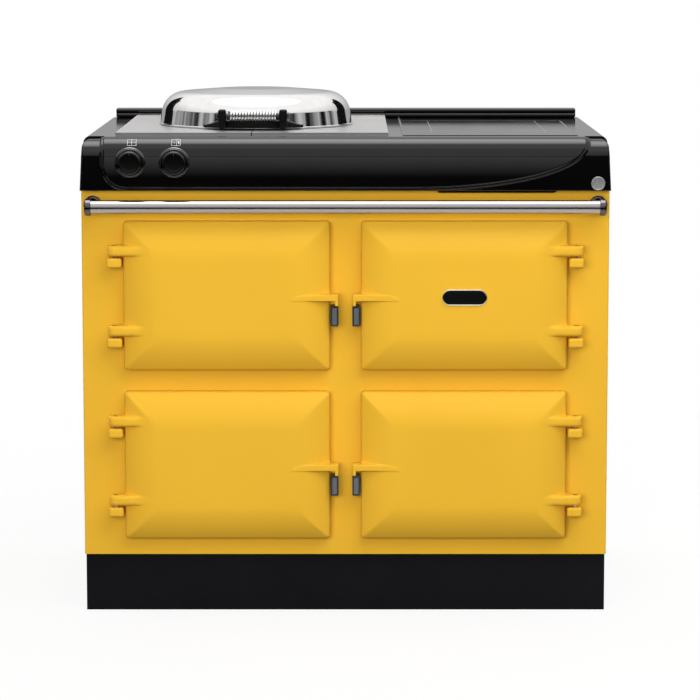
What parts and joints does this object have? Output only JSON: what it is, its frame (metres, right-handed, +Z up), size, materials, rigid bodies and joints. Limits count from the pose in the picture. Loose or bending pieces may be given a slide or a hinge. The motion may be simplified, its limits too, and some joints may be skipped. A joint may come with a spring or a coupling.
{
  "type": "range cooker",
  "caption": "Enamelled range cooker with cast oven doors, a domed hotplate lid, an induction hob, control knobs and a front handrail.",
  "frame": {"origin": "middle of the footprint, on the floor", "axes": "+Z up, the doors face -Y, +X to the right seen from the front"},
  "size_m": [0.987, 0.698, 0.9803],
  "materials": {
    "yellow_enamel": "gloss vitreous enamel",
    "black_enamel": "gloss vitreous enamel",
    "black_paint": "satin paint",
    "polished_steel": "polished",
    "brushed_steel": "brushed",
    "galvanised_steel": "galvanised sheet",
    "cast_iron": "machined and seasoned",
    "hob_glass": "black ceramic glass",
    "black_plastic": "moulded, satin",
    "copper": "wound wire",
    "wool": "mineral wool",
    "rope": "woven heat-resistant rope"
  },
  "bodies": {
    "cooker_body": {"back_panel": "galvanised_steel", "base_plate": "galvanised_steel", "cable_gland": "black_plastic", "control_facia": "black_enamel", "control_switches": "black_plastic", "door_catches": "brushed_steel", "facia_disc": "polished_steel", "front_plate": "yellow_enamel", "handrail": "polished_steel", "handrail_bracket_left": "polished_steel", "handrail_bracket_right": "polished_steel", "heating_elements": "brushed_steel", "hinge_blocks": "yellow_enamel", "hinge_pins": "polished_steel", "hob_glass": "hob_glass", "hob_trim": "polished_steel", "hotplate": "cast_iron", "hotplate_surround": "brushed_steel", "induction_coils": "copper", "induction_tray": "galvanised_steel", "knob_bezels": "black_paint", "levelling_feet": "brushed_steel", "lid_hinge_bracket": "cast_iron", "lid_hinge_pin": "brushed_steel", "mineral_wool": "wool", "oven_lower_left": "cast_iron", "oven_lower_right": "cast_iron", "oven_shelves": "brushed_steel", "oven_upper_left": "cast_iron", "oven_upper_right": "cast_iron", "plinth": "black_paint", "rear_rail": "black_enamel", "side_panel_left": "yellow_enamel", "side_panel_right": "yellow_enamel", "terminal_box": "black_plastic", "top_plate": "black_enamel", "vent_strip": "black_paint"},
    "door_upper_left": {"door_liner_upper_left": "brushed_steel", "door_seal_upper_left": "rope", "door_upper_left": "yellow_enamel"},
    "door_upper_right": {"door_liner_upper_right": "brushed_steel", "door_seal_upper_right": "rope", "door_upper_right": "yellow_enamel", "name_plate": "brushed_steel"},
    "door_lower_left": {"door_liner_lower_left": "brushed_steel", "door_lower_left": "yellow_enamel", "door_seal_lower_left": "rope"},
    "door_lower_right": {"door_liner_lower_right": "brushed_steel", "door_lower_right": "yellow_enamel", "door_seal_lower_right": "rope"},
    "lid": {"lid_dome": "polished_steel", "lid_handle_bracket": "black_paint", "lid_handle_coil": "polished_steel", "lid_handle_rod": "polished_steel", "lid_hinge_arm": "cast_iron", "lid_insulation": "wool", "lid_liner": "brushed_steel", "lid_rim": "black_paint"},
    "knob_outer": {"knob_outer": "black_plastic"},
    "knob_inner": {"knob_inner": "black_plastic"}
  },
  "joints": [
    {"name": "door_upper_left_hinge", "type": "hinge", "parent": "cooker_body", "child": "door_upper_left", "pos_m": [-0.431, -0.306, 0.6068], "axis": [0, 0, -1], "range_deg": [0, 130]},
    {"name": "door_upper_right_hinge", "type": "hinge", "parent": "cooker_body", "child": "door_upper_right", "pos_m": [0.431, -0.306, 0.6068], "axis": [0, 0, 1], "range_deg": [0, 130]},
    {"name": "door_lower_left_hinge", "type": "hinge", "parent": "cooker_body", "child": "door_lower_left", "pos_m": [-0.431, -0.306, 0.2862], "axis": [0, 0, -1], "range_deg": [0, 130]},
    {"name": "door_lower_right_hinge", "type": "hinge", "parent": "cooker_body", "child": "door_lower_right", "pos_m": [0.431, -0.306, 0.2862], "axis": [0, 0, 1], "range_deg": [0, 130]},
    {"name": "lid_hinge", "type": "hinge", "parent": "cooker_body", "child": "lid", "pos_m": [-0.175, 0.222, 0.927], "axis": [-1, 0, 0], "range_deg": [0, 84]},
    {"name": "knob_outer_turn", "type": "hinge", "parent": "cooker_body", "child": "knob_outer", "pos_m": [-0.399, -0.33, 0.857], "axis": [0, 1, 0], "range_deg": [0, 270]},
    {"name": "knob_inner_turn", "type": "hinge", "parent": "cooker_body", "child": "knob_inner", "pos_m": [-0.317, -0.33, 0.857], "axis": [0, 1, 0], "range_deg": [0, 270]}
  ]
}
